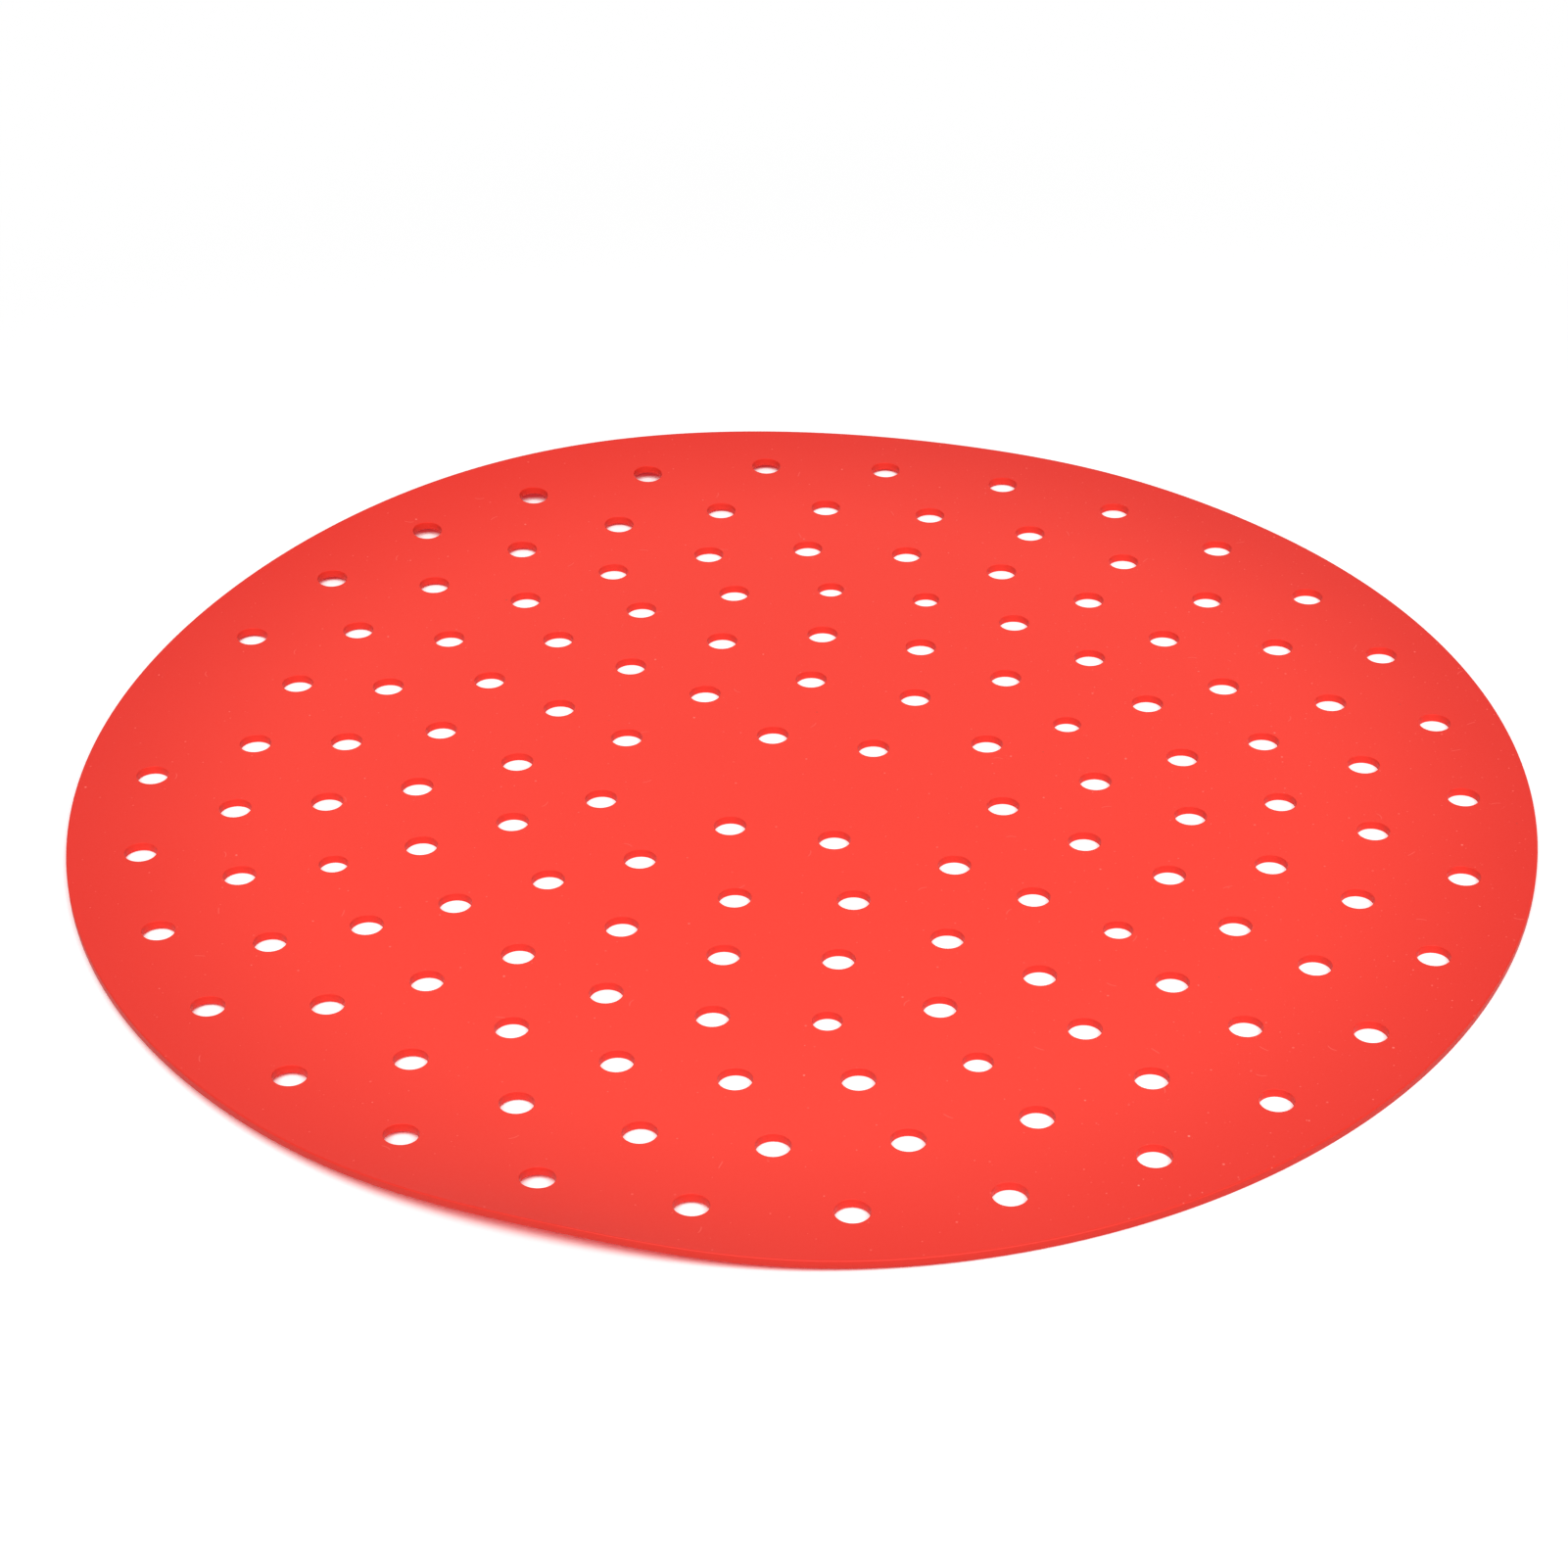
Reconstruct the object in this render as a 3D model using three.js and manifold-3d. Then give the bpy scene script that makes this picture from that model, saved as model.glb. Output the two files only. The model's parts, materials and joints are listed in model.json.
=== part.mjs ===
// Silicone steamer liner: one round, thin sheet of silicone rubber with rings of steam holes.
// Millimetres, +Z up. The origin is the centre of the underside, on the surface that the sheet lies on.

import * as THREE from "three";
import { mergeGeometries, mergeVertices } from "three/addons/utils/BufferGeometryUtils.js";
import Module from "manifold-3d";

// Sheet
const LINER_DIAMETER = 200;
const SHEET_THICKNESS = 1.2;
const RIM_EDGE_RADIUS = 0.25;

// Steam holes
const HOLE_DIAMETER = 4.4;
const SMALL_HOLE_DIAMETER = 3.9;
const RIM_MARGIN = 9.7; // from the rim to the hole centres of the outermost ring
const FIRST_RING_RADIUS = 27.8; // hole centres of the innermost full ring
const THIRD_RING_OUTSET = 0.4; // how far the third full ring lies outside its even place
const PATTERN_OFFSET_X = 0.3; // the punched pattern sits a little off the rim's centre
const PATTERN_OFFSET_Y = -0.5;

// Full rings from the inside out, evenly spaced but for their outsets. Angles are in degrees,
// anticlockwise from +X seen from above. Places along a ring count from its start: one is left out,
// and some holes are small.
const RINGS = [
  { holes: 11, startDeg: 21.8, outset: 0, leftOut: [], small: [] },
  { holes: 17, startDeg: 22.1, outset: 0, leftOut: [], small: [0] },
  { holes: 23, startDeg: 22.6, outset: THIRD_RING_OUTSET, leftOut: [], small: [3, 4, 16, 19] },
  { holes: 27, startDeg: 22.4, outset: 0, leftOut: [], small: [13, 20] },
  { holes: 30, startDeg: 27.1, outset: 0, leftOut: [], small: [] },
  { holes: 30, startDeg: 21.4, outset: 0, leftOut: [12], small: [] },
];

// Centre group: two pairs of holes that face each other across the centre
const CENTRE_GROUP_RADIUS = 13.7;
const CENTRE_PAIR_AXIS_DEG = 75.7;
const CENTRE_PAIR_HALF_ANGLE_DEG = 32;

// Curl: inside the curl band the sheet lies flat. The rim has lifted off the surface at the back, with a
// slight lift to the right of that, and at the front it has a wide lift with a narrow, steep one on its
// flank.
const CURL_BAND_WIDTH = 45;
const BACK_CURL_HEIGHT = 2.95;
const RIGHT_CURL_HEIGHT = 0.3;
const FRONT_CURL_HEIGHT = 1.55;
const FRONT_TIP_HEIGHT = 1.8;
const CURLS = [
  { directionDeg: 117, spreadDeg: 21.9, height: BACK_CURL_HEIGHT, power: 2.6 },
  { directionDeg: 61, spreadDeg: 8, height: RIGHT_CURL_HEIGHT, power: 7 },
  { directionDeg: -124, spreadDeg: 23.6, height: FRONT_CURL_HEIGHT, power: 2.35 },
  { directionDeg: -107, spreadDeg: 9.6, height: FRONT_TIP_HEIGHT, power: 7 },
];

// Facets
const RIM_FACETS = 64;
const CURL_STEPS = 7;
const EDGE_ARC_STEPS = 1;
const HOLE_FACETS = 12;
const CUT_OVERRUN = 1; // how far a cutter reaches past both faces

const wasm = await Module();
wasm.setup();

const rimRadius = LINER_DIAMETER / 2;
const flatRadius = rimRadius - CURL_BAND_WIDTH;
const degrees = THREE.MathUtils.degToRad;
const FULL_TURN_DEG = 360;
const HALF_TURN_DEG = 180;

// Height of the underside above the surface at a place on the sheet.
function curlHeight(x, y) {
  const across = Math.max(0, (Math.hypot(x, y) - flatRadius) / CURL_BAND_WIDTH);
  const angle = Math.atan2(y, x);
  return CURLS.reduce((height, curl) => {
    const turn = angle - degrees(curl.directionDeg);
    const away = Math.atan2(Math.sin(turn), Math.cos(turn)) / degrees(curl.spreadDeg);
    return height + curl.height * Math.exp(-away * away / 2) * across ** curl.power;
  }, 0);
}

// Half outline of the flat sheet: out along the underside, round the rim and back along the top.
function sheetOutline() {
  const edge = Math.min(RIM_EDGE_RADIUS, SHEET_THICKNESS / 3);
  const faceRadius = rimRadius - edge;
  const stations = Array.from({ length: CURL_STEPS }, (_, step) =>
    THREE.MathUtils.lerp(flatRadius, faceRadius, step / CURL_STEPS));
  const outline = new THREE.Path();
  outline.moveTo(0, 0);
  stations.forEach((radius) => outline.lineTo(radius, 0));
  outline.lineTo(faceRadius, 0);
  outline.absarc(faceRadius, edge, edge, -Math.PI / 2, 0);
  outline.absarc(faceRadius, SHEET_THICKNESS - edge, edge, 0, Math.PI / 2);
  stations.reverse().forEach((radius) => outline.lineTo(radius, SHEET_THICKNESS));
  outline.lineTo(0, SHEET_THICKNESS);
  return outline.getPoints(EDGE_ARC_STEPS);
}

// Sheet without holes: the outline turned about Z, with the rim curled up.
function curledSheet() {
  const sheet = new THREE.LatheGeometry(sheetOutline(), RIM_FACETS).rotateX(Math.PI / 2);
  const place = sheet.attributes.position;
  for (let i = 0; i < place.count; i += 1) {
    place.setZ(i, place.getZ(i) + curlHeight(place.getX(i), place.getY(i)));
  }
  return sheet;
}

// Centres and diameters of the holes of the centre group and of every ring.
function steamHoles() {
  const hole = (radius, angle, diameter) => ({
    x: PATTERN_OFFSET_X + radius * Math.cos(degrees(angle)),
    y: PATTERN_OFFSET_Y + radius * Math.sin(degrees(angle)),
    diameter,
  });
  const centreGroup = [CENTRE_PAIR_AXIS_DEG, CENTRE_PAIR_AXIS_DEG + HALF_TURN_DEG].flatMap((axis) =>
    [-CENTRE_PAIR_HALF_ANGLE_DEG, CENTRE_PAIR_HALF_ANGLE_DEG].map((turn) =>
      hole(CENTRE_GROUP_RADIUS, axis + turn, HOLE_DIAMETER)));
  const lastRingRadius = rimRadius - RIM_MARGIN;
  const rings = RINGS.flatMap((ring, level) => {
    const evenRadius = THREE.MathUtils.lerp(FIRST_RING_RADIUS, lastRingRadius, level / (RINGS.length - 1));
    const radius = evenRadius + ring.outset;
    const places = Array.from({ length: ring.holes }, (_, place) => place);
    return places
      .filter((place) => !ring.leftOut.includes(place))
      .map((place) => hole(
        radius,
        ring.startDeg + place * FULL_TURN_DEG / ring.holes,
        ring.small.includes(place) ? SMALL_HOLE_DIAMETER : HOLE_DIAMETER,
      ));
  });
  return [...centreGroup, ...rings];
}

// Upright cylinders, one for each hole, that reach past both faces of the sheet.
function holeCutters() {
  const top = SHEET_THICKNESS + CURLS.reduce((height, curl) => height + curl.height, 0);
  const length = top + 2 * CUT_OVERRUN;
  return mergeGeometries(steamHoles().map(({ x, y, diameter }) =>
    new THREE.CylinderGeometry(diameter / 2, diameter / 2, length, HOLE_FACETS)
      .rotateX(Math.PI / 2)
      .translate(x, y, top / 2)));
}

// Closed solid from a geometry whose triangles meet edge to edge.
function toSolid(geometry) {
  geometry.deleteAttribute("normal");
  geometry.deleteAttribute("uv");
  const welded = mergeVertices(geometry);
  return new wasm.Manifold(new wasm.Mesh({
    numProp: 3,
    vertProperties: welded.attributes.position.array,
    triVerts: Uint32Array.from(welded.index.array),
  }));
}

// Geometry with flat facets from a solid.
function toGeometry(solid) {
  const { vertProperties, triVerts } = solid.getMesh();
  const geometry = new THREE.BufferGeometry();
  geometry.setAttribute("position", new THREE.BufferAttribute(vertProperties, 3));
  geometry.setIndex(new THREE.BufferAttribute(triVerts, 1));
  geometry.computeVertexNormals();
  return geometry;
}

const silicone = new THREE.MeshStandardMaterial({ color: 0xfe4d43, roughness: 0.55, metalness: 0 });

const perforatedMat = new THREE.Mesh(
  toGeometry(toSolid(curledSheet()).subtract(toSolid(holeCutters()))),
  silicone,
);
perforatedMat.name = "perforated_mat";

const steamerLiner = new THREE.Group();
steamerLiner.add(perforatedMat);

export default steamerLiner;
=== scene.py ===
"""Looks of a round silicone steamer liner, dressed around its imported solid. Metres, +Z up."""

import json
import logging
import math
from dataclasses import dataclass, field
from enum import Enum
from itertools import pairwise
from typing import Any

import bmesh
import bpy
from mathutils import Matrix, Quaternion, Vector
from mathutils.geometry import delaunay_2d_cdt


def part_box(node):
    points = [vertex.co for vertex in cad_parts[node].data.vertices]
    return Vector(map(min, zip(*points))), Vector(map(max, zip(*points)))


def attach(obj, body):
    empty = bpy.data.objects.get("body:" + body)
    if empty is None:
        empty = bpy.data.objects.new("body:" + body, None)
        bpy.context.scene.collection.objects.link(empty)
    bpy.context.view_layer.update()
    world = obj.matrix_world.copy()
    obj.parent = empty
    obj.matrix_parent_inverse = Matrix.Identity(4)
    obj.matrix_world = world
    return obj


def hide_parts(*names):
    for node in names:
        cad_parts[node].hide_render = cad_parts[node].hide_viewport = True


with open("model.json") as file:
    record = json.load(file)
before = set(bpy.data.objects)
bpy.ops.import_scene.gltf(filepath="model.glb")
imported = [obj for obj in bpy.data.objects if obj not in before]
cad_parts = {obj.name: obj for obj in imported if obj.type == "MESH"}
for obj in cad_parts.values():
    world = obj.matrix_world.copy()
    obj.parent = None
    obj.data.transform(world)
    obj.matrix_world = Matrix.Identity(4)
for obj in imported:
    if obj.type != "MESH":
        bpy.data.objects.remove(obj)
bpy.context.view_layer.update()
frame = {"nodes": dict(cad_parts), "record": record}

LOG = logging.getLogger("steamer_liner")
MM = 0.001
MIDDLE = 0.5  # mean of a noise or of a number drawn from 0 to 1

Point = tuple[float, float]
Colour = tuple[float, float, float, float]


class Value:
    """A shader socket that Python expressions work on."""

    def __init__(self, graph: "ShaderGraph", socket: bpy.types.NodeSocket) -> None:
        """Keep the socket and the graph that it belongs to."""
        self.graph = graph
        self.socket = socket

    def __add__(self, other: "Operand") -> "Value":
        """Sum of two values."""
        return self.graph.maths("ADD", self, other)

    __radd__ = __add__

    def __sub__(self, other: "Operand") -> "Value":
        """This value less another."""
        return self.graph.maths("SUBTRACT", self, other)

    def __rsub__(self, other: "Operand") -> "Value":
        """Another value less this one."""
        return self.graph.maths("SUBTRACT", other, self)

    def __mul__(self, other: "Operand") -> "Value":
        """Product of two values."""
        return self.graph.maths("MULTIPLY", self, other)

    __rmul__ = __mul__

    def __pow__(self, power: "Operand") -> "Value":
        """This value to a power."""
        return self.graph.maths("POWER", self, power)

    def __abs__(self) -> "Value":
        """Size of the value without its sign."""
        return self.graph.maths("ABSOLUTE", self)


Operand = Value | float


class PlacedNode:
    """A node in a graph, whose outputs are read by their identifiers."""

    def __init__(self, graph: "ShaderGraph", node: bpy.types.Node) -> None:
        """Keep the node and the graph that it belongs to."""
        self.graph = graph
        self.node = node

    def __getitem__(self, output: str) -> Value:
        """The output of that identifier, ready for expressions."""
        return Value(self.graph, next(s for s in self.node.outputs if s.identifier == output))


class ShaderGraph:
    """The node tree of a material or of the world, emptied and filled by expressions."""

    def __init__(self, tree: bpy.types.NodeTree) -> None:
        """Take over a node tree and empty it."""
        self.tree = tree
        tree.nodes.clear()

    def node(
        self,
        kind: str,
        settings: dict[str, Any] | None = None,
        inputs: dict[str, Any] | None = None,
    ) -> PlacedNode:
        """Add a node.

        Args:
            kind: The node's type, such as ShaderNodeTexNoise.
            settings: Properties of the node, set before its sockets.
            inputs: Values or links of its sockets, by socket identifier.

        Returns:
            The node, whose outputs are read by identifier.
        """
        node = self.tree.nodes.new(kind)
        for name, setting in (settings or {}).items():
            setattr(node, name, setting)
        for name, given in (inputs or {}).items():
            socket = next(s for s in node.inputs if s.identifier == name)
            if isinstance(given, Value):
                self.tree.links.new(given.socket, socket)
            else:
                socket.default_value = given
        return PlacedNode(self, node)

    def maths(self, operation: str, first: Operand, second: Operand = 0.0) -> Value:
        """Add a Math node.

        Args:
            operation: The node's operation.
            first: Its first value.
            second: Its second value, where the operation has one.

        Returns:
            The result.
        """
        inputs = {"Value": first, "Value_001": second}
        return self.node("ShaderNodeMath", {"operation": operation}, inputs)["Value"]

    def ramp(self, value: Operand, start: float, end: float) -> Value:
        """Smooth step of a value.

        Args:
            value: What is compared.
            start: Where the step is 0.
            end: Where it is 1, on either side of start.

        Returns:
            A value from 0 to 1.
        """
        rising = start < end
        low, high = min(start, end), max(start, end)
        inputs = {
            "Value": value,
            "From Min": low,
            "From Max": high,
            "To Min": 0.0 if rising else 1.0,
            "To Max": 1.0 if rising else 0.0,
        }
        return self.node("ShaderNodeMapRange", {"interpolation_type": "SMOOTHSTEP"}, inputs)["Result"]

    def blend(self, share: Operand, first: Colour | Value, second: Colour | Value) -> Value:
        """Mix two colours.

        Args:
            share: How much of the second colour shows.
            first: Colour where the share is 0.
            second: Colour where the share is 1.

        Returns:
            The mixed colour.
        """
        inputs = {"Factor_Float": share, "A_Color": first, "B_Color": second}
        return self.node("ShaderNodeMix", {"data_type": "RGBA"}, inputs)["Result_Color"]

    def from_axis(self, place: Value) -> Value:
        """Distance of a place from the Z axis."""
        axes = self.node("ShaderNodeSeparateXYZ", None, {"Vector": place})
        return (axes["X"] * axes["X"] + axes["Y"] * axes["Y"]) ** 0.5

    def noise(self, place: Value, scale: float, detail: float) -> Value:
        """Soft noise from 0 to 1, with a scale per metre and finer layers by its detail."""
        inputs = {"Vector": place, "Scale": scale, "Detail": detail}
        return self.node("ShaderNodeTexNoise", None, inputs)["Fac"]

    def cells(self, place: Value, size: float) -> tuple[PlacedNode, PlacedNode]:
        """Divide a plane into uneven cells.

        Args:
            place: Coordinates on the plane.
            size: Mean distance between the middles of neighbouring cells.

        Returns:
            The cells, and the three numbers that each cell draws, as Red, Green and Blue.
        """
        inputs = {"Vector": place, "Scale": 1 / size}
        cells = self.node("ShaderNodeTexVoronoi", {"voronoi_dimensions": "2D"}, inputs)
        return cells, self.node("ShaderNodeSeparateColor", None, {"Color": cells["Color"]})

    def mix(self, share: Value, first: Value, second: Value) -> Value:
        """Mix two shaders by the share of the second."""
        inputs = {"Fac": share, "Shader": first, "Shader_001": second}
        return self.node("ShaderNodeMixShader", None, inputs)["Shader"]

    def surface(self, shader: Value, output: str = "ShaderNodeOutputMaterial") -> None:
        """Show a shader as the surface of the material or world."""
        self.node(output, None, {"Surface": shader})


class EdgeSide(Enum):
    """Which way the sheet's material lies from a round edge, as a sign on the radius."""

    RIM = -1
    HOLE = 1


@dataclass(frozen=True)
class RoundEdge:
    """A circular edge of the sheet: the rim or a steam hole.

    Attributes:
        x: Centre along X.
        y: Centre along Y.
        radius: Radius of the upright wall.
        rounding: Radius of its rounded corners, above and below.
        segments: Facets round the edge.
        side: Which way the material lies.
    """

    x: float
    y: float
    radius: float
    rounding: float
    segments: int
    side: EdgeSide

    def ring(self, inset: float) -> list[Point]:
        """Place points round a circle beside the edge.

        Args:
            inset: How far into the material the circle lies.

        Returns:
            The points, anticlockwise from +X.
        """
        radius = self.radius + self.side.value * inset
        turns = [math.tau * step / self.segments for step in range(self.segments)]
        return [(self.x + radius * math.cos(turn), self.y + radius * math.sin(turn)) for turn in turns]

    def gap_to(self, point: Point) -> float:
        """How far into the material a point lies from this edge."""
        return (math.hypot(point[0] - self.x, point[1] - self.y) - self.radius) * self.side.value


@dataclass(frozen=True)
class Curl:
    """A direction in which the rim has lifted off the surface.

    Attributes:
        direction: Angle of its middle about the centre.
        spread: Angle over which it dies away on each side.
        height: Lift of the rim at its middle.
        power: How steeply the lift grows across the curl band.
    """

    direction: float
    spread: float
    height: float
    power: float

    def lift(self, angle: float, across: float) -> float:
        """Lift at an angle about the centre and a share of the way across the curl band."""
        away = math.remainder(angle - self.direction, math.tau) / self.spread
        return self.height * math.exp(-away * away / 2) * across**self.power


@dataclass(frozen=True)
class FacePlan:
    """Triangles of the sheet's face seen from above.

    Attributes:
        points: Corners of the triangles.
        triangles: Indices of the corners, anticlockwise.
        loops: Indices of the points round each edge, in the order of the edges.
    """

    points: list[Point]
    triangles: list[tuple[int, ...]]
    loops: list[list[int]]


@dataclass(frozen=True)
class Specks:
    """Round specks that are strewn over the sheet, at most one to a cell.

    Attributes:
        cell: Mean distance between neighbouring cells.
        radius: Radius of the largest specks.
        share: Share of the cells that hold a speck.
        gathered: Share that is added where dust has gathered.
        weight: How strongly the specks show.
        core: Share of its radius within which a speck shows fully.
        faintest: Strength of the faintest specks.
        contrast: Power that leaves most specks faint and makes a few of them strong.
    """

    cell: float
    radius: float
    share: float
    gathered: float
    weight: float
    core: float = 0.4
    faintest: float = 0.3
    contrast: float = 3.0

    def mask(self, graph: ShaderGraph, place: Value, gathering: Value) -> Value:
        """Mark the specks.

        Args:
            graph: The material's graph.
            place: Coordinates on the sheet.
            gathering: Where dust has gathered, from 0 to 1.

        Returns:
            The specks' strength on them and 0 elsewhere, with soft edges.
        """
        cells, chance = graph.cells(place, self.cell)
        reach = self.radius / self.cell
        distance = cells["Distance"] + chance["Green"] * (reach / 2)
        held = graph.maths("LESS_THAN", chance["Red"], self.share + gathering * self.gathered)
        strength = held * (self.faintest + chance["Blue"] ** self.contrast)
        return graph.ramp(distance, reach, reach * self.core) * strength * self.weight


@dataclass(frozen=True)
class Lint:
    """Short bent fibres that are strewn over the sheet, at most one to a cell.

    Attributes:
        cell: Mean distance between neighbouring cells.
        length: Length of a fibre.
        share: Share of the cells that hold a fibre.
        weight: How strongly the fibres show.
        slenderness: Length of a fibre over half its width.
        bend: How much the fibres bend; 0 is straight.
        core_width: Share of its width within which a fibre shows fully.
        core_length: Share of its length within which it shows fully.
    """

    cell: float
    length: float
    share: float
    weight: float
    slenderness: float = 14.0
    bend: float = 1.5
    core_width: float = 0.2
    core_length: float = 0.7

    def mask(self, graph: ShaderGraph, place: Value) -> Value:
        """Mark the fibres.

        Args:
            graph: The material's graph.
            place: Coordinates on the sheet.

        Returns:
            The fibres' strength on them and 0 elsewhere, with soft edges.
        """
        cells, chance = graph.cells(place, self.cell)
        inputs = {"Vector": place, "Vector_001": cells["Position"]}
        offset = graph.node("ShaderNodeVectorMath", {"operation": "SUBTRACT"}, inputs)["Vector"]
        apart = graph.node("ShaderNodeSeparateXYZ", None, {"Vector": offset})
        turn = chance["Green"] * math.tau
        cosine = graph.maths("COSINE", turn)
        sine = graph.maths("SINE", turn)
        along = apart["X"] * cosine + apart["Y"] * sine
        bend = (chance["Blue"] - MIDDLE) * (self.bend / self.length)
        across = apart["Y"] * cosine - apart["X"] * sine - along * along * bend
        width = self.length / self.slenderness
        reach = self.length / 2
        narrow = graph.ramp(abs(across), width, width * self.core_width)
        short = graph.ramp(abs(along), reach, reach * self.core_length)
        held = graph.maths("LESS_THAN", chance["Red"], self.share)
        return narrow * short * held * self.weight


@dataclass(frozen=True)
class SiliconeFinish:
    """Satin red silicone rubber with faint dust and lint on it.

    Attributes:
        body: Colour of the flat middle.
        rim: Colour at the rim, a little deeper: painted shade towards the rim.
        wall: Colour of the upright wall round the rim and of its rounded corner, darker than the face:
            painted shade.
        painted_bore_glow: Colour of the upright walls, those of the steam holes above all, a more
            saturated red that paints in the glow of light from inside the sheet.
        dust: Colour of the light specks and lint.
        grit: Colour of the rare dark specks.
        roughness: Roughness of the clean face.
        refraction: Index of refraction of silicone rubber.
        glow: Light that each face of the sheet lets through to what it shades.
        deepens_from: Share of the rim's radius at which the painted shade starts to deepen the colour.
        deepens_to: Share of the rim's radius, past the rim, at which the painted shade would be as deep
            as it gets.
        cloud_scale: Scale of the soft clouds in the colour, per metre.
        cloud_detail: Finer layers in the clouds.
        cloud_depth: How much the clouds vary the depth of the colour.
        painted_front_light: Share of the dust's colour in a paler tint towards the front of the sheet:
            painted light.
        painted_front_light_from: Where that painted light starts along Y, as a share of the rim's
            radius.
        edge_from: Distance from the rim at which the wall's painted shade starts, on the rounded
            corner.
        edge_to: Distance from the rim at which it is reached.
        face_rise: Upward part of the normal above which a surface is a face.
        wall_rise: Upward part of the normal below which it is a wall.
        large_specks: The larger light specks.
        fine_specks: The finer light specks.
        dark_specks: The dark specks.
        lint: The fibres.
        gathers_from: Where the specks start to gather along X, as a share of the rim's radius.
        gathers_to: Where they have gathered most.
        dust_cover: Share of the dust's colour on a speck.
        dust_height: Height of the dust in the bump, next to the grain.
        dust_roughness: Roughness that the dust adds.
        grain_scale: Scale of the rubber's fine grain, per metre.
        grain_detail: Finer layers in the grain.
        grain_roughness: How much the grain varies the roughness.
        grain_strength: Strength of the bump.
        grain_height: Height of the bump.
    """

    body: Colour = (0.95, 0.0465, 0.027, 1.0)
    # painted shade: the colour darkens towards the rim
    rim: Colour = (0.76, 0.0235, 0.0125, 1.0)
    # painted shade: the rim's wall and rounded corner darker than the face
    wall: Colour = (0.76, 0.0255, 0.0125, 1.0)
    # painted glow: upright walls a more saturated red, for light scattered through the sheet
    painted_bore_glow: Colour = (0.91, 0.033, 0.0185, 1.0)
    dust: Colour = (0.97, 0.22, 0.18, 1.0)
    grit: Colour = (0.45, 0.05, 0.04, 1.0)
    roughness: float = 0.55
    refraction: float = 1.41
    glow: Colour = (0.58, 0.15, 0.17, 1.0)
    deepens_from: float = 0.68
    deepens_to: float = 1.1
    cloud_scale: float = 55.0
    cloud_detail: float = 3.0
    cloud_depth: float = 0.12
    # painted light: a paler tint towards the front (-Y)
    painted_front_light: float = 0.046
    painted_front_light_from: float = -0.2
    edge_from: float = 0.3 * MM
    edge_to: float = 0.15 * MM
    face_rise: float = 0.9
    wall_rise: float = 0.6
    large_specks: Specks = Specks(cell=5.5 * MM, radius=0.22 * MM, share=0.4, gathered=0.45, weight=1.0)
    fine_specks: Specks = Specks(cell=2.2 * MM, radius=0.16 * MM, share=0.25, gathered=0.5, weight=0.7)
    dark_specks: Specks = Specks(cell=16 * MM, radius=0.2 * MM, share=0.35, gathered=0.0, weight=0.4)
    lint: Lint = Lint(cell=13 * MM, length=1.6 * MM, share=0.4, weight=0.4)
    gathers_from: float = 0.1
    gathers_to: float = 0.7
    dust_cover: float = 0.85
    dust_height: float = 0.6
    dust_roughness: float = 0.15
    grain_scale: float = 2600.0
    grain_detail: float = 2.0
    grain_roughness: float = 0.12
    grain_strength: float = 0.25
    grain_height: float = 0.02 * MM

    def walls(self, graph: ShaderGraph) -> Value:
        """Mark the walls.

        Args:
            graph: The material's graph.

        Returns:
            1 where the surface stands upright and 0 on the faces.
        """
        normal = graph.node("ShaderNodeNewGeometry")["Normal"]
        rise = graph.node("ShaderNodeSeparateXYZ", None, {"Vector": normal})["Z"]
        return graph.ramp(abs(rise), self.face_rise, self.wall_rise)

    def clean_colour(self, graph: ShaderGraph, place: Value, walls: Value, rim_radius: float) -> Value:
        """Colour the rubber under its specks and lint.

        Args:
            graph: The material's graph.
            place: Coordinates on the sheet.
            walls: Where the surface stands upright.
            rim_radius: Radius at which the rim's colour is reached.

        Returns:
            The colour.
        """
        axes = graph.node("ShaderNodeSeparateXYZ", None, {"Vector": place})
        radius = graph.from_axis(place)
        # Painted shade: the colour deepens towards the rim.
        painted_rim_shade = graph.ramp(radius, self.deepens_from * rim_radius, self.deepens_to * rim_radius)
        cloud = graph.noise(place, self.cloud_scale, self.cloud_detail)
        colour = graph.blend(painted_rim_shade + (cloud - MIDDLE) * self.cloud_depth, self.body, self.rim)
        # Painted light: the face turns paler towards the front, unevenly by the clouds.
        painted_front_light = graph.ramp(axes["Y"], self.painted_front_light_from * rim_radius, -rim_radius) * (cloud + MIDDLE)
        colour = graph.blend(painted_front_light * self.painted_front_light, colour, self.dust)
        # Painted glow: the upright walls take a more saturated red that stands in for light scattered
        # through the sheet.
        colour = graph.blend(walls, colour, self.painted_bore_glow)
        # Painted shade: the rim's wall and its rounded corner take a darker colour.
        edge = graph.ramp(radius, rim_radius - self.edge_from, rim_radius - self.edge_to)
        return graph.blend(edge, colour, self.wall)

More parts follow.
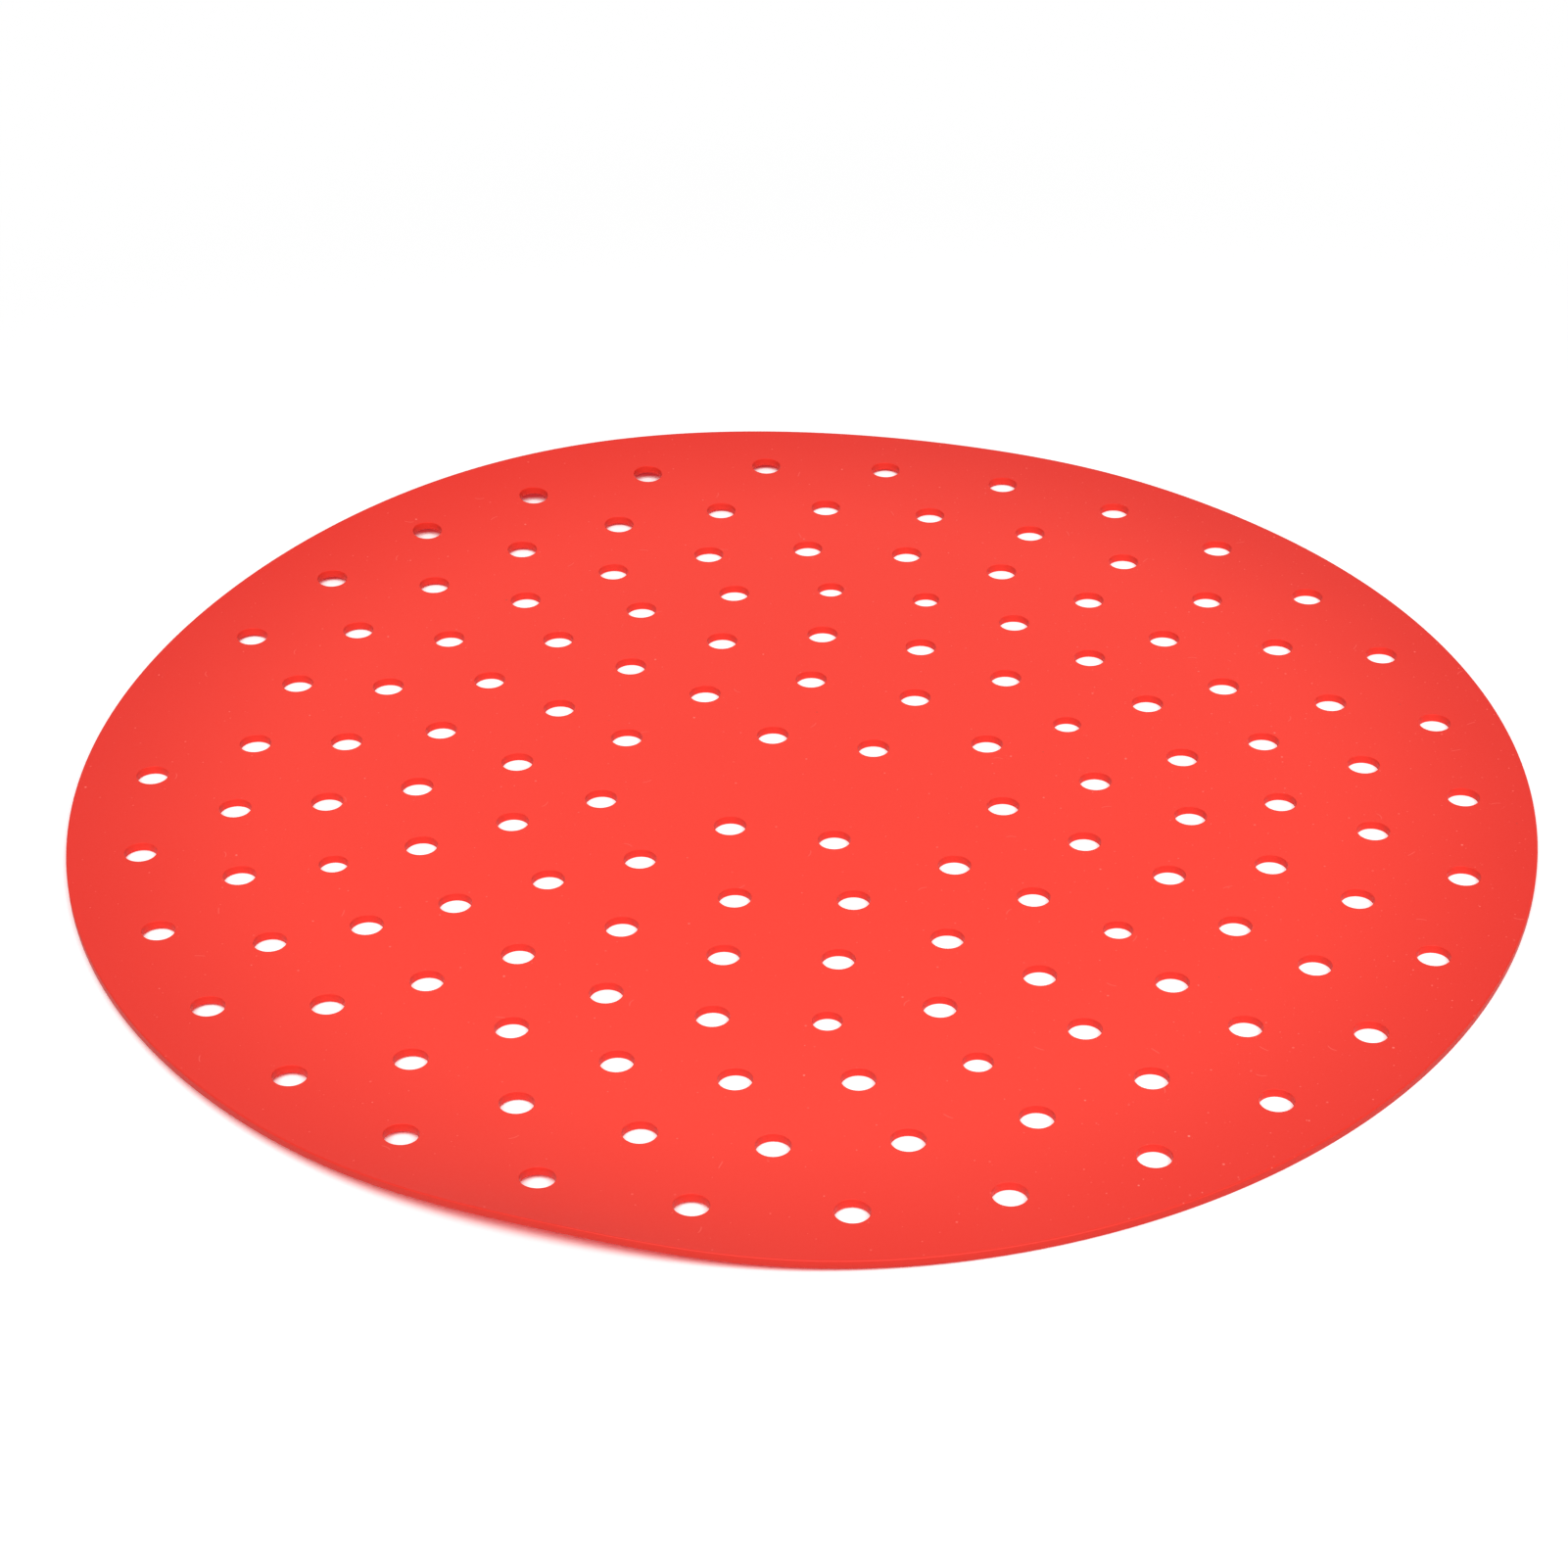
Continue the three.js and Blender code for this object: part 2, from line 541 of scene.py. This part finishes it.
    def material(self, rim_radius: float) -> bpy.types.Material:
        """Make the silicone.

        Args:
            rim_radius: Radius at which the rim's colour is reached.

        Returns:
            The material.
        """
        made = bpy.data.materials.new("red_silicone")
        made.use_nodes = True
        graph = ShaderGraph(made.node_tree)
        place = graph.node("ShaderNodeTexCoord")["Object"]
        walls = self.walls(graph)
        across = graph.node("ShaderNodeSeparateXYZ", None, {"Vector": place})["X"]
        gathering = graph.ramp(across, self.gathers_from * rim_radius, self.gathers_to * rim_radius)
        large = self.large_specks.mask(graph, place, gathering)
        dots = graph.maths("MAXIMUM", large, self.fine_specks.mask(graph, place, gathering))
        dusty = graph.maths("MAXIMUM", dots, self.lint.mask(graph, place)) * (1.0 - walls)
        colour = self.clean_colour(graph, place, walls, rim_radius)
        colour = graph.blend(dusty * self.dust_cover, colour, self.dust)
        colour = graph.blend(self.dark_specks.mask(graph, place, gathering), colour, self.grit)
        grain = graph.noise(place, self.grain_scale, self.grain_detail)
        bump_inputs = {
            "Height": grain + dusty * self.dust_height,
            "Strength": self.grain_strength,
            "Distance": self.grain_height,
        }
        bump = graph.node("ShaderNodeBump", None, bump_inputs)["Normal"]
        unevenness = (grain - MIDDLE) * self.grain_roughness
        shader_inputs = {
            "Base Color": colour,
            "Roughness": self.roughness + unevenness + dusty * self.dust_roughness,
            "IOR": self.refraction,
            "Normal": bump,
        }
        rubber = graph.node("ShaderNodeBsdfPrincipled", None, shader_inputs)["BSDF"]
        passing = graph.node("ShaderNodeBsdfTransparent", None, {"Color": self.glow})["BSDF"]
        shading = graph.node("ShaderNodeLightPath")["Is Shadow Ray"]
        graph.surface(graph.mix(shading, rubber, passing))
        return made


@dataclass
class PerforatedSheet:
    """The liner: one thin round sheet with soft edges, steam holes and a curled rim.

    Attributes:
        solid: The CAD sheet that it stands for.
        finish: What it is made of.
        rim_rounding: Rounding of the rim's corners.
        hole_rounding: Rounding of the corners of the punched holes.
        edge_steps: Facets of each rounding.
        edge_support: Flat strip beside each rounding that keeps the face's shading flat.
        rim_segments: Facets round the rim.
        hole_segments: Facets round a steam hole.
        face_step: Distance between the points that fill the face.
        face_margin: Share of that distance that the points keep from every edge's flat strip.
        curl_band: Width of the band along the rim in which the sheet may lift.
        curls: Where the rim has lifted.
    """

    solid: bpy.types.Object
    finish: SiliconeFinish
    rim_rounding: float = 0.15 * MM
    hole_rounding: float = 0.05 * MM
    edge_steps: int = 3
    edge_support: float = 0.2 * MM
    rim_segments: int = 320
    hole_segments: int = 40
    face_step: float = 3.5 * MM
    face_margin: float = 0.35
    curl_band: float = 45 * MM
    curls: tuple[Curl, ...] = (
        Curl(direction=math.radians(117), spread=math.radians(21.9), height=2.95 * MM, power=2.6),
        Curl(direction=math.radians(61), spread=math.radians(8), height=0.3 * MM, power=7.0),
        Curl(direction=math.radians(-124), spread=math.radians(23.6), height=1.55 * MM, power=2.35),
        Curl(direction=math.radians(-107), spread=math.radians(9.6), height=1.8 * MM, power=7.0),
    )
    rim_radius: float = field(init=False)
    thickness: float = field(init=False)

    def __post_init__(self) -> None:
        """Take the overall sizes from the frame."""
        low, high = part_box(self.solid.name)
        self.rim_radius = (high.x - low.x) / 2
        faces = {mount["name"]: mount["pos_m"][2] for mount in frame["record"]["mounts"]}
        self.thickness = faces["food_face"] - faces["resting_face"]

    def steam_holes(self) -> list[RoundEdge]:
        """Find the steam holes by the upright walls of the CAD sheet.

        Returns:
            The holes, from left to right.
        """
        weld = 0.01 * MM
        upright = 0.5
        solid = bmesh.new()
        solid.from_mesh(self.solid.data)
        bmesh.ops.remove_doubles(solid, verts=solid.verts, dist=weld)
        waiting = {face for face in solid.faces if abs(face.normal.z) < upright}
        holes = []
        while waiting:
            wall = [waiting.pop()]
            for face in wall:
                beside = {near for edge in face.edges for near in edge.link_faces} & waiting
                waiting -= beside
                wall.extend(beside)
            across = [vert.co.x for face in wall for vert in face.verts]
            along = [vert.co.y for face in wall for vert in face.verts]
            radius = (max(across) - min(across)) / 2
            if radius < self.rim_radius / 2:
                x, y = (max(across) + min(across)) / 2, (max(along) + min(along)) / 2
                hole = RoundEdge(x, y, radius, self.hole_rounding, self.hole_segments, EdgeSide.HOLE)
                holes.append(hole)
        solid.free()
        return sorted(holes, key=lambda hole: (hole.x, hole.y))

    def height(self, x: float, y: float) -> float:
        """Find the lift of the underside above the surface.

        Args:
            x: Place on the sheet along X.
            y: Place on the sheet along Y.

        Returns:
            The lift.
        """
        flat_radius = self.rim_radius - self.curl_band
        across = max(0.0, (math.hypot(x, y) - flat_radius) / self.curl_band)
        return sum(curl.lift(math.atan2(y, x), across) for curl in self.curls)

    def filling(self, edges: list[RoundEdge]) -> list[Point]:
        """Points between the edges, on staggered circles, clear of every edge.

        Args:
            edges: The rim and the holes.

        Returns:
            The points that fill the face.
        """
        clear = self.rim_rounding + self.edge_support + self.face_margin * self.face_step
        circles = int(self.rim_radius / self.face_step)
        steps_to_rim = circles + 1 / 2
        points = [(0.0, 0.0)]
        for level in range(1, circles + 1):
            radius = self.rim_radius * level / steps_to_rim
            count = round(math.tau * radius / self.face_step)
            for step in range(count):
                turn = math.tau * (step + level % 2 / 2) / count
                points.append((radius * math.cos(turn), radius * math.sin(turn)))
        return [point for point in points if all(edge.gap_to(point) > clear for edge in edges)]

    def plan(self, edges: list[RoundEdge]) -> FacePlan:
        """Fill the face between the edges with triangles.

        Args:
            edges: The rim and the holes.

        Returns:
            The triangles and the loop of points round each edge.
        """
        whole_hull = 0
        tolerance = 1e-9
        points = []
        owners = []
        bounds = []
        for number, edge in enumerate(edges):
            start = len(points)
            points += edge.ring(edge.rounding + self.edge_support)
            owners += [number] * edge.segments
            bounds.append(list(range(start, start + edge.segments)))
        filling = self.filling(edges)
        points += filling
        owners += [None] * len(filling)
        sides = [side for loop in bounds for side in zip(loop, loop[1:] + loop[:1])]
        flat = [Vector(point) for point in points]
        filled = delaunay_2d_cdt(flat, sides, [], whole_hull, tolerance)
        found, _, triangles, origins, _, _ = filled
        source = [origin[0] for origin in origins]
        index_of = {origin: index for index, origin in enumerate(source)}
        holes = set(range(1, len(edges)))

        def covers_hole(triangle: tuple[int, ...]) -> bool:
            """Whether a triangle lies inside a hole: its corners are all on that hole's loop."""
            owner = {owners[source[corner]] for corner in triangle}
            return len(owner) == 1 and owner <= holes

        return FacePlan(
            [tuple(place) for place in found],
            [tuple(triangle) for triangle in triangles if not covers_hole(triangle)],
            [[index_of[point] for point in loop] for loop in bounds],
        )

    def edge_profile(self, rounding: float) -> list[Point]:
        """Draw the cross-section of an edge.

        Args:
            rounding: Radius of its corners.

        Returns:
            Insets and heights from the upper face to the underside.
        """
        turns = [math.pi / 2 * step / self.edge_steps for step in range(self.edge_steps + 1)]
        corner = [(rounding * (1 - math.sin(turn)), rounding * (1 - math.cos(turn))) for turn in turns]
        upper = [(inset, self.thickness - drop) for inset, drop in corner]
        return upper + corner[::-1]

    def build(self) -> bpy.types.Object:
        """Build the sheet's mesh.

        Returns:
            The sheet, in place.
        """
        rim = RoundEdge(0.0, 0.0, self.rim_radius, self.rim_rounding, self.rim_segments, EdgeSide.RIM)
        edges = [rim, *self.steam_holes()]
        plan = self.plan(edges)
        count = len(plan.points)
        vertices = [(x, y, self.thickness) for x, y in plan.points]
        vertices += [(x, y, 0.0) for x, y in plan.points]
        faces = list(plan.triangles)
        faces += [tuple(count + corner for corner in reversed(triangle)) for triangle in plan.triangles]
        for edge, loop in zip(edges, plan.loops):
            rows = [loop]
            for inset, height in self.edge_profile(edge.rounding):
                rows.append(range(len(vertices), len(vertices) + edge.segments))
                vertices += [(x, y, height) for x, y in edge.ring(inset)]
            rows.append([count + corner for corner in loop])
            for upper, lower in pairwise(rows):
                for here in range(edge.segments):
                    there = (here + 1) % edge.segments
                    quad = (upper[here], lower[here], lower[there], upper[there])
                    faces.append(quad if edge.side is EdgeSide.RIM else quad[::-1])
        mesh = bpy.data.meshes.new("liner_sheet")
        mesh.from_pydata([(x, y, z + self.height(x, y)) for x, y, z in vertices], [], faces)
        mesh.shade_smooth()
        piece = bpy.data.objects.new("liner_sheet", mesh)
        bpy.context.scene.collection.objects.link(piece)
        LOG.info("sheet with %d holes, %d faces", len(edges) - 1, len(faces))
        return piece

    def dress(self, piece: bpy.types.Object) -> None:
        """Give the sheet its finish and let it stand for the CAD sheet.

        Args:
            piece: The sheet.
        """
        piece.data.materials.append(self.finish.material(self.rim_radius))
        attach(piece, "root")
        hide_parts(self.solid.name)


@dataclass(frozen=True)
class Softbox:
    """A rectangular area lamp.

    Attributes:
        name: Name of the lamp.
        place: Where it hangs.
        width: Length of its level sides.
        height: Length of its other sides.
        power: Its power in watts.
    """

    name: str
    place: tuple[float, float, float]
    width: float
    height: float
    power: float

    def hang(self) -> None:
        """Make the lamp, turned to the origin."""
        lamp = bpy.data.lights.new(self.name, "AREA")
        lamp.shape = "RECTANGLE"
        lamp.size = self.width
        lamp.size_y = self.height
        lamp.energy = self.power
        holder = bpy.data.objects.new(self.name, lamp)
        holder.location = self.place
        holder.rotation_mode = "QUATERNION"
        holder.rotation_quaternion = (-Vector(self.place)).to_track_quat("-Z", "Y")
        bpy.context.scene.collection.objects.link(holder)


@dataclass(frozen=True)
class Studio:
    """A white table under soft light, and the camera.

    Attributes:
        table_size: Length of the table's sides.
        table_drop: How far the table lies below the liner.
        table_colour: Colour of the table as the liner sees it.
        table_exposure: Colour of the table as the camera sees it, bright enough to burn out.
        white_from: Distance from the liner's centre at which the table starts to turn plain white.
        white_to: Distance at which it is plain white and meets the backdrop.
        sky: Strength of the light from straight above, which fades towards the horizon.
        sky_from: Upward part of a direction at which that light starts.
        sky_full: Upward part of a direction at which it is full.
        lamps: The softboxes.
        camera_place: Where the camera stands.
        camera_aim: Where its middle ray meets the table.
        camera_roll: Its turn about that ray, in degrees.
        camera_lens: Focal length in millimetres on a 36 mm sensor.
        camera_near: Distance from which the camera sees.
    """

    table_size: float = 6.0
    table_drop: float = 0.02 * MM
    table_colour: Colour = (0.6, 0.6, 0.6, 1.0)
    table_exposure: Colour = (1.12, 1.12, 1.12, 1.0)
    white_from: float = 0.12
    white_to: float = 0.24
    sky: float = 0.45
    sky_from: float = 0.45
    sky_full: float = 0.85
    lamps: tuple[Softbox, ...] = (
        Softbox("front_softbox", place=(0.1, -1.16, 1.44), width=1.8, height=0.7, power=38.2),
    )
    camera_place: tuple[float, float, float] = (0.3 * MM, -416.96 * MM, 278.99 * MM)
    camera_aim: tuple[float, float, float] = (-2.31 * MM, 1.9 * MM, 0.0)
    camera_roll: float = -0.701
    camera_lens: float = 83.48
    camera_near: float = 10 * MM

    def seen_directly(self, graph: ShaderGraph) -> Value:
        """Tell what the camera sees from other light.

        Args:
            graph: Graph of a material or of the world.

        Returns:
            1 for what is seen directly, in a mirror or through glass, and 0 for other light.
        """
        rays = graph.node("ShaderNodeLightPath")
        mirrored = graph.maths("MAXIMUM", rays["Is Glossy Ray"], rays["Is Transmission Ray"])
        return graph.maths("MAXIMUM", rays["Is Camera Ray"], mirrored)

    def lay_table(self) -> bpy.types.Object:
        """Make the white table.

        Returns:
            The table.
        """
        half = self.table_size / 2
        corners = [(-half, -half), (half, -half), (half, half), (-half, half)]
        mesh = bpy.data.meshes.new("white_table")
        mesh.from_pydata([(x, y, -self.table_drop) for x, y in corners], [], [(0, 1, 2, 3)])
        table = bpy.data.objects.new("white_table", mesh)
        bpy.context.scene.collection.objects.link(table)
        paper = bpy.data.materials.new("white_paper")
        paper.use_nodes = True
        graph = ShaderGraph(paper.node_tree)
        seen = self.seen_directly(graph)
        colour = graph.blend(seen, self.table_colour, self.table_exposure)
        matt = graph.node("ShaderNodeBsdfDiffuse", None, {"Color": colour})["BSDF"]
        distance = graph.from_axis(graph.node("ShaderNodeTexCoord")["Object"])
        far = seen * graph.ramp(distance, self.white_from, self.white_to)
        graph.surface(graph.mix(far, matt, graph.node("ShaderNodeEmission")["Emission"]))
        paper.cycles.emission_sampling = "NONE"
        mesh.materials.append(paper)
        return table

    def light(self) -> None:
        """Make the light from above and hang the softboxes."""
        world = bpy.data.worlds.new("studio")
        world.use_nodes = True
        bpy.context.scene.world = world
        graph = ShaderGraph(world.node_tree)
        direction = graph.node("ShaderNodeTexCoord")["Generated"]
        rise = graph.node("ShaderNodeSeparateXYZ", None, {"Vector": direction})["Z"]
        overhead = graph.ramp(rise, self.sky_from, self.sky_full) * self.sky
        strength = overhead + self.seen_directly(graph) * (1.0 - overhead)
        inputs = {"Color": (1.0, 1.0, 1.0, 1.0), "Strength": strength}
        backdrop = graph.node("ShaderNodeBackground", None, inputs)["Background"]
        graph.surface(backdrop, "ShaderNodeOutputWorld")
        for lamp in self.lamps:
            lamp.hang()

    def set_camera(self) -> None:
        """Stand the camera where the photograph was taken from."""
        lens = bpy.data.cameras.new("camera")
        lens.lens = self.camera_lens
        lens.clip_start = self.camera_near
        camera = bpy.data.objects.new("camera", lens)
        camera.location = self.camera_place
        camera.rotation_mode = "QUATERNION"
        view = Vector(self.camera_aim) - Vector(self.camera_place)
        roll = Quaternion((0.0, 0.0, 1.0), math.radians(self.camera_roll))
        camera.rotation_quaternion = view.to_track_quat("-Z", "Y") @ roll
        bpy.context.scene.collection.objects.link(camera)
        bpy.context.scene.camera = camera


def main() -> None:
    """Build the liner and the studio around it."""
    logging.basicConfig(level=logging.INFO, format="%(name)s: %(message)s")
    bpy.context.scene.view_settings.view_transform = "Standard"
    studio = Studio()
    studio.set_camera()
    studio.light()
    studio.lay_table()
    LOG.info("studio ready")
    sheet = PerforatedSheet(frame["nodes"]["perforated_mat"], SiliconeFinish())
    piece = sheet.build()
    sheet.dress(piece)
    LOG.info("%s dressed", piece.name)


if __name__ == "__main__":
    main()
